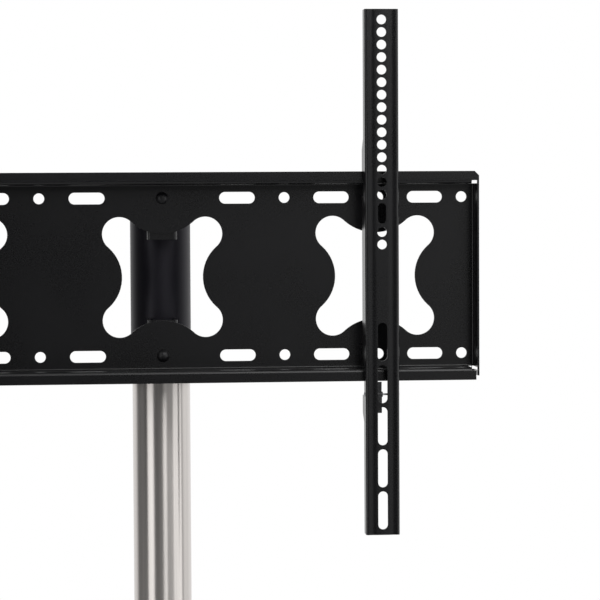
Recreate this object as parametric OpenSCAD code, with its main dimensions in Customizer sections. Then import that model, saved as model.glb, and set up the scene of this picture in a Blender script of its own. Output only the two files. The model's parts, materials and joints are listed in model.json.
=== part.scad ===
// Free-standing screen stand: a steel foot plate, a round brushed column and a screen mount
// that slides and turns on it. Millimetres, +Z up, front faces -Y, origin on the floor under
// the middle of the column.

/* [Column] */
// Outside diameter of the column tube
pole_od = 60; // [50:1:76]
// Wall of the column tube
pole_wall = 1.5; // [1.2:0.1:3]
// Height of the middle of the screen plate above the floor, at the top of its travel
head_height = 1290; // [900:5:1600]
// How far the column stands above the top of the sleeve
pole_stand_up = 3; // [1:0.5:8]
// Thickness of the rim of the column's end cap
cap_rim = 3; // [2:0.5:5]
// Depth of the end cap's plug inside the column
cap_plug = 16; // [8:1:30]
// Wall of the end cap's plug
cap_wall = 2; // [1.5:0.5:4]

/* [Foot plate] */
// Width of the foot plate, left to right
base_w = 620; // [480:10:630]
// Depth of the foot plate, front to back
base_d = 460; // [380:10:600]
// Thickness of the foot plate
base_t = 8; // [6:1:15]
// Corner radius of the foot plate
base_corner_r = 60; // [30:5:100]
// Edge break around the top of the foot plate
base_edge = 1.5; // [0.5:0.5:3]
// Distance from each side of the foot plate to the middle of a foot
foot_inset = 62; // [50:1:90]

/* [Levelling feet] */
// Diameter of a foot's pad
pad_d = 34; // [24:1:45]
// Height of the foot plate's underside above the floor
pad_h = 12; // [8:1:20]
// Radius around the pad's lower edge
pad_round = 2; // [1:0.5:3]
// Diameter of a foot's threaded stud
stud_d = 8; // [6:1:12]
// Width across flats of the key socket in a stud's end
stud_key = 4; // [3:0.5:5]
// Depth of the key socket in a stud's end
stud_key_depth = 4; // [2:0.5:6]

/* [Column root] */
// Diameter of the root disc under the column
root_d = 130; // [126:1:132]
// Thickness of the root disc
root_t = 10; // [8:1:16]
// Height of the spigot that the column stands on
spigot_h = 45; // [25:1:80]
// Bore through the spigot
spigot_bore = 40; // [20:1:44]
// Circle of the screws that hold the root disc
root_screw_circle = 112; // [100:1:130]
// Number of screws that hold the root disc
root_screws = 4; // [3:1:6]
// Diameter of those screws
root_screw_d = 10; // [8:1:12]
// Head diameter of those screws
root_head_d = 18; // [16:1:22]
// Flat edge of those heads, below their cone
root_head_edge = 0.8; // [0.5:0.1:1.5]
// Width across flats of their key socket
root_key = 6; // [4:1:8]
// Depth of their key socket
root_key_depth = 4; // [2:0.5:6]
// Diameter of the domed cover round the column
cover_d = 176; // [160:1:200]
// Rise of the domed cover
cover_rise = 28; // [28:1:40]
// Wall of the domed cover
cover_wall = 1.2; // [0.8:0.1:2]
// Height of the cover's neck along the column
cover_neck = 6; // [3:1:12]

/* [Height collar] */
// Outside diameter of the collar under the sleeve
collar_od = 82; // [72:1:95]
// Height of the collar
collar_h = 15.5; // [12:0.5:20]
// Edge break of the collar
collar_edge = 1; // [0.5:0.5:2]
// Diameter of the collar's grub screws
grub_d = 6; // [5:1:8]
// Width across flats of a grub screw's key socket
grub_key = 3; // [2:0.5:4]
// Depth of a grub screw's key socket
grub_key_depth = 3; // [2:0.5:4]
// Number of grub screws in the collar
grubs = 2; // [1:1:3]
// Angle between grub screws
grub_angle = 90; // [60:5:120]

/* [Sleeve and cleats] */
// Wall of the sleeve
sleeve_wall = 1.1; // [1:0.1:2.5]
// Height of the sleeve's top above the middle of the screen plate
sleeve_up = 96; // [92:1:101]
// How far the sleeve's lower end is below the middle of the screen plate
sleeve_down = 93.5; // [93.5:0.5:98]
// Width of a cleat
cleat_w = 30; // [26:1:40]
// Height of a cleat
cleat_h = 50; // [46:1:54]
// Sheet of a cleat
cleat_t = 3; // [2:0.5:4]
// Height of the upper cleat's lower edge above the middle of the screen plate
upper_cleat_z = 38; // [38:0.5:40]
// Distance of the lower cleat's upper edge below the middle of the screen plate
lower_cleat_z = 43.5; // [42:0.5:43.5]

/* [Clamp knobs] */
// Distance of each clamp knob above and below the middle of the screen plate
knob_z = 62; // [45:1:75]
// Diameter of a clamp knob
knob_d = 40; // [30:1:50]
// Thickness of a clamp knob's head
knob_t = 16; // [12:1:22]
// Number of grips round a clamp knob
knob_grips = 7; // [5:1:9]
// Radius of the hollow between two grips
knob_hollow_r = 7; // [5:0.5:8]
// Depth of the hollow between two grips
knob_hollow = 3.5; // [2:0.5:4]
// Radius around the edges of a clamp knob
knob_round = 3; // [1:0.5:4]
// Diameter of a clamp knob's neck
neck_d = 18; // [16:1:22]
// Length of a clamp knob's neck
neck_len = 8; // [5:1:14]
// Diameter of a clamp knob's stud
clamp_d = 8; // [6:1:10]
// Diameter of the threaded boss on the sleeve
boss_d = 17; // [15:1:22]
// Length of the threaded boss on the sleeve
boss_len = 13; // [10:1:18]
// Gap between the boss and the knob's neck
knob_gap = 2; // [1:0.5:5]

/* [Screen plate] */
// Width of the screen plate
plate_w = 640; // [620:1:700]
// Height of the screen plate over its lips
plate_h = 212; // [208:1:220]
// Sheet of the screen plate
sheet_t = 2; // [1.5:0.1:2.5]
// Distance of the plate's front face in front of the column's axis
plate_reach = 65; // [60:1:80]
// How far the ledges and end flanges stand in front of the plate
lip_depth = 26.2; // [24:0.1:30]
// Height of a lip over its ledge
lip_h = 12.5; // [11:0.5:13]
// Inside radius of the plate's bends
bend_r = 1.5; // [1:0.5:2]
// Corner break at the ends of the top lip
lip_corner = 4.5; // [2:0.5:6]
// Gap between each end of the bottom lip and the end flange
lip_end_gap = 1.1; // [0.5:0.1:2]
// How far the end flanges stop short of the bottom lip's edge
flange_short = 4.4; // [2:0.1:6]
// Height of the corner relief slots
relief_h = 3.2; // [2:0.1:4]
// Length of the corner relief slots along the ledges
relief_len = 5.4; // [3:0.1:8]
// Distance of each row of fixing holes from the middle of the plate
row_z = 80; // [78:0.5:82]
// Distance of the first fixing slot from the middle
first_slot_x = 76; // [74:0.5:80]
// Pitch of the fixing slots
slot_pitch = 95.9; // [94:0.1:97]
// Number of fixing slots on each side
slots = 3; // [2:1:3]
// Length of a fixing slot
slot_len = 36.2; // [30:0.2:38]
// Width of a fixing slot
slot_w = 11.8; // [8:0.2:12]
// Diameter of the round fixing holes
hole_d = 10.9; // [8:0.1:12]
// Distance of the last round hole from the plate's end
end_hole_inset = 14.3; // [12:0.1:16]
// Distance between the middles of the four-lobed openings
opening_pitch = 216.7; // [214:0.1:219]
// Sideways offset of an opening's lobes
lobe_x = 43.5; // [41:0.1:46]
// Upward offset of an opening's lobes
lobe_z = 43.8; // [42:0.1:45]
// Radius of an opening's lobes
lobe_r = 17.3; // [15:0.1:18]
// Half-width of an opening at its waist
waist = 40.9; // [38:0.1:42]
// Half-height of an opening at its waist
saddle = 44; // [42.5:0.1:45]

/* [Plate bolts] */
// Diameter of the bolts that hold the plate to the cleats
bolt_d = 8; // [6:1:8]
// Head diameter of those bolts
bolt_head_d = 12.5; // [12:0.5:14]
// Rise of the domed heads
bolt_head_h = 4.2; // [3:0.1:5]
// Width across flats of the nuts
nut_flats = 13; // [12:0.5:14]
// Thickness of the nuts
nut_t = 6.5; // [5:0.5:8]
// How far the bolts stand out of their nuts
bolt_out = 2; // [1:0.5:4]

/* [Rails] */
// Distance of each rail from the middle, as shown
rail_x = 219; // [200:1:250]
// Width of a rail
rail_w = 34.2; // [32:0.2:36]
// Sheet of a rail
rail_t = 2; // [1.5:0.1:2.5]
// Outside radius of a rail's bends
rail_r = 2.5; // [2.5:0.5:3]
// Distance of each pressed groove from the middle of a rail
groove_x = 10.2; // [9.8:0.1:10.4]
// Width of a pressed groove
groove_w = 7.2; // [5:0.2:7.4]
// Depth of a pressed groove
groove_d = 0.5; // [0.3:0.1:0.8]
// Height of a rail's top above the middle of the plate
rail_up = 268; // [260:1:280]
// Distance of a rail's lower end below the middle of the plate
rail_down = 260.7; // [260:0.1:275]
// Depth of a rail's plain side flanges
flange_plain = 16; // [14.5:0.5:18]
// Depth of a rail's side flanges at the hooks
flange_hook = 27; // [25:0.5:30]
// Distance from a rail's face to the edge that leans on the lips
rail_nose = 14.5; // [13:0.1:14.5]
// Height of the hook above the top lip's edge
hook_rise = 22; // [18:1:30]
// Length over which the hook flange tapers
hook_taper = 11; // [8:1:14]
// How far a rail has to be lifted off the plate
hook_lift = 12; // [11:0.5:13]
// Play of the hook above the ledge that it hangs over
hook_play = 2; // [1:0.1:3]
// Play of the lug under the bottom lip once a rail is lifted
lug_play = 2.7; // [1:0.1:4]
// Length of the lug under the bottom lip
lug_len = 18; // [14:1:24]
// Length over which the lug tapers
lug_taper = 9; // [6:1:12]

/* [Rail holes] */
// Pitch of the screw holes
screw_pitch = 12.5; // [12.4:0.1:12.6]
// Diameter of the screw holes
screw_hole_d = 9.6; // [8.5:0.1:10]
// Distance of the first screw hole from the rail's top
screw_first = 10.6; // [9:0.1:14]
// Number of screw holes in the long row
screw_holes = 15; // [12:1:15]
// Width of the short slot below them
short_slot_w = 8.2; // [7:0.1:9]
// Number of screw holes below the short slot
screw_holes_below = 2; // [1:1:2]
// Length of the long slots
long_slot_len = 38.5; // [34:0.1:39]
// Width of the long slots
long_slot_w = 9.7; // [8.5:0.1:10]
// Pitch of the long slots
long_slot_pitch = 42.6; // [42:0.1:43]
// Distance of the last long slot's end from the rail's lower end
long_slot_last = 5.6; // [5:0.1:8]
// Number of long slots
long_slots = 5; // [3:1:5]

/* [Latches] */
// Diameter of a latch's cross pin
latch_pin_d = 2; // [1.6:0.2:3]
// Distance of the cross pin behind the rail's face
latch_depth = 9; // [8:0.5:9.5]
// Distance of the cross pin below the bottom lip
latch_drop = 13; // [12:0.5:14]
// Thickness of a latch
latch_t = 4; // [3:0.5:5]
// Distance of a latch's middle to the side of the rail's middle
latch_side = 2; // [0:0.5:4]
// Diameter of a latch's hub
latch_hub_d = 5.4; // [5:0.2:7]
// How far the hub stands out on each side of a latch
latch_hub_out = 1; // [0.5:0.5:2]
// Gap between a latch's tip and the bottom lip's edge
latch_gap = 0.4; // [0.3:0.1:1]
// Width of a latch's tail
tail_w = 5; // [4:0.5:6]
// Length of a latch's tail below the cross pin
tail_len = 19; // [14:1:20]
// Head diameter of a cross pin
pin_head_d = 4.5; // [4:0.5:6]
// Head thickness of a cross pin
pin_head_t = 1; // [0.5:0.5:1.5]

/* [Hidden] */
$fn = 96;

// Overrun of cuts past a face
over = 1;
// Radial clearance of sliding and turning round fits
running = 0.1;
// Radial clearance of threads and pins in their holes
thread_fit = 0.05;
// Clearance between parts that move past each other
travel_gap = 0.3;
// Clearance of parts that seat on curved faces of their own body
weld_gap = 0.1;
// Radial clearance of bolts in their holes
bolt_fit = 0.3;
// How far an opening's arcs cross the rims of its lobes
lobe_cross = 0.05;
// First angle of a latch's catch, from upright
catch_from = -5;
// Last angle of a latch's catch, from upright
catch_to = 42;

pole_r = pole_od / 2;
pole_bore_r = pole_r - pole_wall;
base_top = pad_h + base_t;
root_top = base_top + root_t;
column_top = head_height + sleeve_up + pole_stand_up;
sleeve_bore_r = pole_r + running;
sleeve_r = sleeve_bore_r + sleeve_wall;
collar_top = head_height - sleeve_down - travel_gap;

plate_y = -plate_reach;
plate_back_y = plate_y + sheet_t;
ledge_z = plate_h / 2 - lip_h;
lip_front_y = plate_y - lip_depth;
rail_y = lip_front_y - travel_gap - rail_nose;

screw_z = [for (i = [0 : screw_holes - 1]) rail_up - screw_first - i * screw_pitch];
short_slot_z = rail_up - screw_first - (screw_holes + 0.5) * screw_pitch;
below_z = [
    for (i = [0 : screw_holes_below - 1])
        rail_up - screw_first - (screw_holes + 2 + i) * screw_pitch
];
long_z = [
    for (i = [0 : long_slots - 1])
        long_slot_last + long_slot_len / 2 + i * long_slot_pitch - rail_down
];
latch_y = rail_y + latch_depth;
latch_z = head_height - plate_h / 2 - latch_drop;
latch_tip_r = latch_drop - latch_gap;

// Flat shapes

module bend(inner_r, wall) {
    intersection() {
        difference() {
            circle(inner_r + wall);
            circle(inner_r);
        }
        square(inner_r + wall);
    }
}

module capsule(length, width) {
    straight = length - width;
    square([straight, width], center = true);
    for (side = [-1, 1])
        translate([side * straight / 2, 0])
            circle(d = width);
}

module rounded_rectangle(width, depth, radius) {
    square([width - 2 * radius, depth], center = true);
    square([width, depth - 2 * radius], center = true);
    for (sx = [-1, 1], sy = [-1, 1])
        translate([sx * (width / 2 - radius), sy * (depth / 2 - radius)])
            circle(radius);
}

// A channel's section with its face along X and its flanges towards +Y
module channel_section(width, depth, radius) {
    translate([-width / 2, radius])
        square([width, depth - radius]);
    translate([radius - width / 2, 0])
        square([width - 2 * radius, depth]);
    for (side = [-1, 1])
        translate([side * (width / 2 - radius), radius])
            circle(radius);
}

// Radius of an arc that touches two lobes: its crown is gap past their middles, rise from each
function arc_radius(gap, rise, lobe) = (pow(gap, 2) + pow(rise, 2) - pow(lobe, 2)) / (2 * (lobe - gap));

// A four-lobed opening: round lobes joined by arcs that all but touch them
module lobed_opening() {
    side_r = arc_radius(waist - lobe_x, lobe_z, lobe_r - lobe_cross);
    rise_r = arc_radius(saddle - lobe_z, lobe_x, lobe_r - lobe_cross);
    side_x = waist + side_r;
    rise_z = saddle + rise_r;
    difference() {
        polygon([
            [side_x, 0], [lobe_x, lobe_z], [0, rise_z], [-lobe_x, lobe_z],
            [-side_x, 0], [-lobe_x, -lobe_z], [0, -rise_z], [lobe_x, -lobe_z]
        ]);
        for (side = [-1, 1]) {
            translate([side * side_x, 0])
                circle(side_r);
            translate([0, side * rise_z])
                circle(rise_r);
        }
    }
    for (sx = [-1, 1], sz = [-1, 1])
        translate([sx * lobe_x, sz * lobe_z])
            circle(lobe_r);
}

// Placing flat shapes

// Draws a Y-Z shape along X, centred
module along_x(length) {
    translate([-length / 2, 0, 0])
        rotate([90, 0, 90])
            linear_extrude(length)
                children();
}

// Draws an X-Z shape from the front face y_front to the back
module along_y(y_front, depth) {
    translate([0, y_front + depth, 0])
        rotate([90, 0, 0])
            linear_extrude(depth)
                children();
}

// Turns a shape made along +Z to point along +Y
module facing_back() {
    rotate([-90, 0, 0])
        children();
}

// Turns a shape made along +Z to point along -Y
module facing_front() {
    rotate([90, 0, 0])
        children();
}

module key_socket(flats, depth) {
    translate([0, 0, -depth])
        cylinder(d = flats / cos(30), h = depth + over, $fn = 6);
}

module at_plate() {
    translate([0, 0, head_height])
        children();
}

// Foot

module foot_places() {
    for (sx = [-1, 1], sy = [-1, 1])
        translate([sx * (base_w / 2 - foot_inset), sy * (base_d / 2 - foot_inset), 0])
            children();
}

module root_screw_places() {
    for (i = [0 : root_screws - 1])
        rotate(45 + i * 360 / root_screws)
            translate([root_screw_circle / 2, 0, 0])
                children();
}

// The top of a rounded slab, drawn in at 45 degrees over its height
module broken_edge(width, depth, radius, height) {
    for (sx = [-1, 1], sy = [-1, 1])
        translate([sx * (width / 2 - radius), sy * (depth / 2 - radius), 0])
            cylinder(r1 = radius, r2 = radius - height, h = height);
    for (turn = [0, 1]) {
        length = turn == 0 ? width : depth;
        span = turn == 0 ? depth : width;
        rotate(turn * 90)
            along_x(length - 2 * radius)
                polygon([
                    [-span / 2, 0], [span / 2, 0], [span / 2 - height, height], [height - span / 2, height]
                ]);
    }
}

module base_plate() {
    head_z = pad_h + root_head_edge;
    cone_h = (root_head_d - root_screw_d) / 2;
    color("#1d1e20")
        difference() {
            union() {
                translate([0, 0, pad_h])
                    linear_extrude(base_t - base_edge)
                        rounded_rectangle(base_w, base_d, base_corner_r);
                translate([0, 0, base_top - base_edge])
                    broken_edge(base_w, base_d, base_corner_r, base_edge);
            }
            foot_places()
                translate([0, 0, pad_h - over])
                    cylinder(d = stud_d + 2 * thread_fit, h = base_t + 2 * over);
            root_screw_places() {
                translate([0, 0, pad_h - over])
                    cylinder(d = root_screw_d + 2 * bolt_fit, h = base_t + 2 * over);
                translate([0, 0, pad_h - over])
                    cylinder(d = root_head_d + 2 * bolt_fit, h = root_head_edge + over);
                translate([0, 0, head_z])
                    cylinder(r1 = root_head_d / 2 + bolt_fit, r2 = root_screw_d / 2 + bolt_fit, h = cone_h);
            }
        }
}

module levelling_foot(side_x, side_y) {
    translate([side_x * (base_w / 2 - foot_inset), side_y * (base_d / 2 - foot_inset), 0]) {
        color("#26272a")
            rotate_extrude() {
                square([pad_d / 2 - pad_round, pad_h - weld_gap]);
                translate([0, pad_round])
                    square([pad_d / 2, pad_h - weld_gap - pad_round]);
                translate([pad_d / 2 - pad_round, pad_round])
                    circle(pad_round);
            }
        color("#8d9094")
            difference() {
                translate([0, 0, pad_h - over])
                    cylinder(d = stud_d, h = base_t + over - weld_gap);
                translate([0, 0, base_top - weld_gap])
                    key_socket(stud_key, stud_key_depth);
            }
    }
}

module root_disc() {
    color("#34363a")
        difference() {
            union() {
                translate([0, 0, base_top])
                    cylinder(d = root_d, h = root_t);
                translate([0, 0, root_top])
                    cylinder(r = pole_bore_r - weld_gap, h = spigot_h);
            }
            translate([0, 0, base_top - over])
                cylinder(d = spigot_bore, h = root_t + spigot_h + 2 * over);
            root_screw_places()
                translate([0, 0, base_top - over])
                    cylinder(d = root_screw_d + 2 * thread_fit, h = root_t + 2 * over);
        }
}

module root_screws() {
    cone_h = (root_head_d - root_screw_d) / 2;
    color("#8d9094")
        root_screw_places()
            difference() {
                union() {
                    translate([0, 0, pad_h])
                        cylinder(d = root_head_d, h = root_head_edge);
                    translate([0, 0, pad_h + root_head_edge])
                        cylinder(d1 = root_head_d, d2 = root_screw_d, h = cone_h);
                    translate([0, 0, pad_h + root_head_edge])
                        cylinder(d = root_screw_d, h = base_t + root_t - root_head_edge);
                }
                translate([0, 0, pad_h])
                    rotate([180, 0, 0])
                        key_socket(root_key, root_key_depth);
            }
}

module root_cover() {
    dome_r = (pow(cover_d / 2, 2) + pow(cover_rise, 2)) / (2 * cover_rise);
    neck_r = pole_r + travel_gap;
    neck_bottom = sqrt(pow(dome_r, 2) - pow(neck_r + cover_wall, 2)) - dome_r + cover_rise - cover_wall;
    color("#c4c2be")
        translate([0, 0, base_top])
            rotate_extrude() {
                intersection() {
                    translate([0, cover_rise - dome_r])
                        difference() {
                            circle(dome_r, $fn = 360);
                            circle(dome_r - cover_wall, $fn = 360);
                        }
                    translate([neck_r, 0])
                        square([cover_d / 2 - neck_r, cover_rise]);
                }
                translate([neck_r, neck_bottom])
                    square([cover_wall, cover_neck]);
            }
}

module column() {
    color("#c9c6c2")
        difference() {
            translate([0, 0, root_top])
                cylinder(r = pole_r, h = column_top - root_top);
            translate([0, 0, root_top - over])
                cylinder(r = pole_bore_r, h = column_top - root_top + 2 * over);
        }
}

module column_cap() {
    plug_r = pole_bore_r - weld_gap;
    color("#1b1c1e")
        translate([0, 0, column_top])
            rotate_extrude() {
                difference() {
                    translate([0, -cap_plug])
                        square([plug_r, cap_plug]);
                    translate([0, -cap_plug - over])
                        square([plug_r - cap_wall, cap_plug + over]);
                }
                square([pole_r - cap_rim / 2, cap_rim]);
                square([pole_r, cap_rim / 2]);
                translate([pole_r - cap_rim / 2, cap_rim / 2])
                    circle(cap_rim / 2);
            }
}

// Height collar

module grub_places() {
    for (i = [0 : grubs - 1])
        translate([0, 0, collar_top - collar_h / 2])
            rotate(90 + (i - (grubs - 1) / 2) * grub_angle)
                rotate([0, 90, 0])
                    children();
}

module height_collar() {
    color("#202124")
        difference() {
            translate([0, 0, collar_top - collar_h])
                rotate_extrude()
                    difference() {
                        translate([sleeve_bore_r, 0])
                            square([collar_od / 2 - sleeve_bore_r, collar_h]);
                        for (z = [0, collar_h])
                            translate([collar_od / 2, z])
                                rotate(45)
                                    square(collar_edge * sqrt(2), center = true);
                    }
            grub_places()
                cylinder(d = grub_d + 2 * thread_fit, h = collar_od);
        }
}

module collar_screws() {
    color("#8d9094")
        grub_places()
            difference() {
                translate([0, 0, pole_r + travel_gap])
                    cylinder(d = grub_d, h = collar_od / 2 - pole_r - travel_gap - collar_edge);
                translate([0, 0, collar_od / 2 - collar_edge])
                    key_socket(grub_key, grub_key_depth);
            }
}

// Sleeve, cleats and clamps

module sleeve() {
    color("#1e1f22")
        at_plate()
            difference() {
                translate([0, 0, -sleeve_down])
                    cylinder(r = sleeve_r, h = sleeve_down + sleeve_up);
                translate([0, 0, -sleeve_down - over])
                    cylinder(r = sleeve_bore_r, h = sleeve_down + sleeve_up + 2 * over);
                for (side = [-1, 1])
                    translate([0, 0, side * knob_z])
                        facing_back()
                            cylinder(d = clamp_d + 2 * bolt_fit, h = sleeve_r + over);
            }
}

module clamp_bosses() {
    seat = sqrt(pow(sleeve_r, 2) - pow(boss_d / 2, 2));
    color("#222326")
        at_plate()
            for (side = [-1, 1])
                translate([0, 0, side * knob_z])
                    difference() {
                        facing_back()
                            translate([0, 0, seat])
                                cylinder(d = boss_d, h = sleeve_r - seat + boss_len);
                        translate([0, 0, -boss_d])
                            cylinder(r = sleeve_r + weld_gap, h = 2 * boss_d);
                        facing_back()
                            cylinder(d = clamp_d + 2 * thread_fit, h = sleeve_r + boss_len + over);
                    }
}

module clamp_knob(side) {
    neck_y = sleeve_r + boss_len + knob_gap;
    head_y = neck_y + neck_len;
    color("#18191b")
        at_plate()
            translate([0, 0, side * knob_z])
                facing_back() {
                    translate([0, 0, pole_r + travel_gap])
                        cylinder(d = clamp_d, h = head_y - pole_r - travel_gap + over);
                    translate([0, 0, neck_y])
                        cylinder(d = neck_d, h = neck_len + over);
                    difference() {
                        translate([0, 0, head_y])
                            rotate_extrude() {
                                square([knob_d / 2 - knob_round, knob_t]);
                                translate([0, knob_round])
                                    square([knob_d / 2, knob_t - 2 * knob_round]);
                                for (z = [knob_round, knob_t - knob_round])
                                    translate([knob_d / 2 - knob_round, z])
                                        circle(knob_round);
                            }
                        for (i = [0 : knob_grips - 1])
                            rotate(i * 360 / knob_grips)
                                translate([knob_d / 2 - knob_hollow + knob_hollow_r, 0, head_y - over])
                                    cylinder(r = knob_hollow_r, h = knob_t + 2 * over);
                    }
                }
}

module cleat(bottom_z) {
    color("#232427")
        at_plate()
            difference() {
                translate([0, plate_back_y, bottom_z])
                    linear_extrude(cleat_h)
                        difference() {
                            channel_section(cleat_w, plate_reach - sheet_t, cleat_t);
                            translate([cleat_t - cleat_w / 2, cleat_t])
                                square([cleat_w - 2 * cleat_t, plate_reach]);
                        }
                translate([0, 0, bottom_z - over])
                    cylinder(r = sleeve_r + weld_gap, h = cleat_h + 2 * over);
                translate([0, plate_back_y - over, sign(bottom_z) * row_z])
                    facing_back()
                        cylinder(d = bolt_d + 2 * bolt_fit, h = cleat_t + 2 * over);
            }
}

// Screen plate

// Section of the bend between the plate and its upper lip
module lip_root() {
    translate([-bend_r, ledge_z - bend_r])
        bend(bend_r, sheet_t);
}

// Section of the upper lip: ledge, second bend and upright edge
module lip_section() {
    translate([sheet_t + bend_r - lip_depth, ledge_z])
        square([lip_depth - sheet_t - 2 * bend_r, sheet_t]);
    translate([sheet_t + bend_r - lip_depth, ledge_z + sheet_t + bend_r])
        rotate(180)
            bend(bend_r, sheet_t);
    translate([-lip_depth, ledge_z + sheet_t + bend_r])
        square([sheet_t, plate_h / 2 - ledge_z - sheet_t - bend_r]);
}

module end_flange_section() {
    translate([plate_w / 2 - sheet_t - bend_r, -bend_r])
        bend(bend_r, sheet_t);
    translate([plate_w / 2 - sheet_t, -lip_depth])
        square([sheet_t, lip_depth - bend_r]);
}

module fixing_holes() {
    for (side = [-1, 1], row = [-row_z, row_z]) {
        for (i = [0 : slots - 1])
            translate([side * (first_slot_x + i * slot_pitch), row])
                capsule(slot_len, slot_w);
        for (i = [0 : slots - 2])
            translate([side * (first_slot_x + (i + 0.5) * slot_pitch), row])
                circle(d = hole_d);
        translate([side * (plate_w / 2 - end_hole_inset), row])
            circle(d = hole_d);
    }
    for (row = [-row_z, row_z])
        translate([0, row])
            square(bolt_d + 2 * bolt_fit, center = true);
}

// Cuts at the ends of both ledges, which leave a strip at the front of the end flange
module corner_reliefs() {
    flange_x = plate_w / 2 - sheet_t;
    for (z = [ledge_z, -ledge_z - relief_h]) {
        translate([flange_x - relief_len, lip_front_y - over, z])
            cube([relief_len, lip_depth + sheet_t + 2 * over, relief_h]);
        translate([flange_x - over, lip_front_y + sheet_t, z])
            cube([sheet_t + 2 * over, lip_depth + over, relief_h]);
    }
}

// Breaks the corner at the end of the top lip
module lip_corner_cut() {
    side = lip_corner * sqrt(2);
    translate([plate_w / 2, lip_front_y + sheet_t / 2, plate_h / 2])
        rotate([0, 45, 0])
            cube([side, sheet_t + 2 * over, side], center = true);
}

module screen_plate() {
    web_w = plate_w - 2 * sheet_t - 2 * bend_r;
    flange_h = plate_h - flange_short;
    color("#26272a")
        at_plate()
            difference() {
                translate([0, plate_y, 0]) {
                    along_x(web_w) {
                        translate([0, bend_r - ledge_z])
                            square([sheet_t, 2 * (ledge_z - bend_r)]);
                        lip_root();
                        mirror([0, 1])
                            lip_root();
                    }
                    along_x(plate_w)
                        lip_section();
                    along_x(plate_w - 2 * sheet_t - 2 * lip_end_gap)
                        mirror([0, 1])
                            lip_section();
                    for (side = [0, 1])
                        mirror([side, 0, 0])
                            translate([0, 0, flange_short - plate_h / 2])
                                linear_extrude(flange_h - lip_corner)
                                    end_flange_section();
                }
                along_y(plate_y - over, sheet_t + 2 * over) {
                    fixing_holes();
                    for (i = [-1 : 1])
                        translate([i * opening_pitch, 0])
                            lobed_opening();
                }
                for (side = [0, 1])
                    mirror([side, 0, 0]) {
                        corner_reliefs();
                        lip_corner_cut();
                    }
            }
}

module plate_bolts() {
    dome_r = (pow(bolt_head_d / 2, 2) + pow(bolt_head_h, 2)) / (2 * bolt_head_h);
    shank = sheet_t + cleat_t + nut_t + bolt_out;
    color("#2a2b2e")
        at_plate()
            for (row = [-row_z, row_z])
                translate([0, plate_y, row]) {
                    facing_front()
                        intersection() {
                            translate([0, 0, bolt_head_h - dome_r])
                                sphere(dome_r);
                            cylinder(d = bolt_head_d, h = bolt_head_h);
                        }
                    facing_back() {
                        translate([0, 0, sheet_t / 2])
                            cube([bolt_d, bolt_d, sheet_t], center = true);
                        cylinder(d = bolt_d, h = shank);
                    }
                }
}

module plate_nuts() {
    color("#8d9094")
        at_plate()
            for (row = [-row_z, row_z])
                translate([0, plate_back_y + cleat_t, row])
                    facing_back()
                        difference() {
                            cylinder(d = nut_flats / cos(30), h = nut_t, $fn = 6);
                            translate([0, 0, -over])
                                cylinder(d = bolt_d + 2 * thread_fit, h = nut_t + 2 * over);
                        }
}

// Rails

// Side outline of a rail, depth behind its face along X and height along Y
module rail_outline() {
    lip_edge = plate_h / 2;
    slot_back = rail_nose + sheet_t + 2 * travel_gap;
    lug_top = -lip_edge - hook_lift - lug_play;
    lug_bottom = lug_top - lug_len;
    polygon([
        [0, rail_up],
        [flange_plain, rail_up],
        [flange_plain, lip_edge + hook_rise + hook_taper],
        [flange_hook, lip_edge + hook_rise],
        [flange_hook, ledge_z + sheet_t + hook_play],
        [slot_back, ledge_z + sheet_t + hook_play],
        [slot_back, lip_edge + travel_gap],
        [rail_nose, lip_edge + travel_gap],
        [rail_nose, ledge_z - hook_lift],
        [flange_hook, ledge_z - hook_lift],
        [flange_hook, hook_play - ledge_z],
        [rail_nose, hook_play - ledge_z],
        [rail_nose, lug_top],
        [flange_hook, lug_top],
        [flange_hook, lug_bottom],
        [flange_plain, lug_bottom - lug_taper],
        [flange_plain, -rail_down],
        [0, -rail_down]
    ]);
}

module rail_holes() {
    for (z = concat(screw_z, below_z))
        translate([0, z])
            circle(d = screw_hole_d);
    translate([0, short_slot_z])
        rotate(90)
            capsule(screw_pitch + short_slot_w, short_slot_w);
    for (z = long_z)
        translate([0, z])
            rotate(90)
                capsule(long_slot_len, long_slot_w);
}

// A rail's section with its face along X and its flanges towards +Y
module rail_section() {
    groove_r = (pow(groove_w / 2, 2) + pow(groove_d, 2)) / (2 * groove_d);
    difference() {
        channel_section(rail_w, flange_hook, rail_r);
        difference() {
            translate([0, rail_t])
                channel_section(rail_w - 2 * rail_t, flange_hook, rail_r - rail_t);
            for (side = [-1, 1])
                translate([side * groove_x, groove_d - groove_r])
                    circle(groove_r + rail_t, $fn = 240);
        }
        for (side = [-1, 1])
            translate([side * groove_x, groove_d - groove_r])
                circle(groove_r, $fn = 240);
    }
}

module rail(side) {
    color("#232427")
        translate([side * rail_x, 0, 0])
            difference() {
                intersection() {
                    translate([0, rail_y, head_height - rail_down])
                        linear_extrude(rail_up + rail_down)
                            rail_section();
                    translate([0, rail_y, head_height])
                        along_x(rail_w + 2 * over)
                            rail_outline();
                }
                at_plate()
                    along_y(rail_y - over, rail_t + 2 * over)
                        rail_holes();
                translate([0, latch_y, latch_z])
                    rotate([0, 90, 0])
                        cylinder(d = latch_pin_d + 2 * thread_fit, h = rail_w + 2 * over, center = true);
            }
}

// Latches

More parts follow.
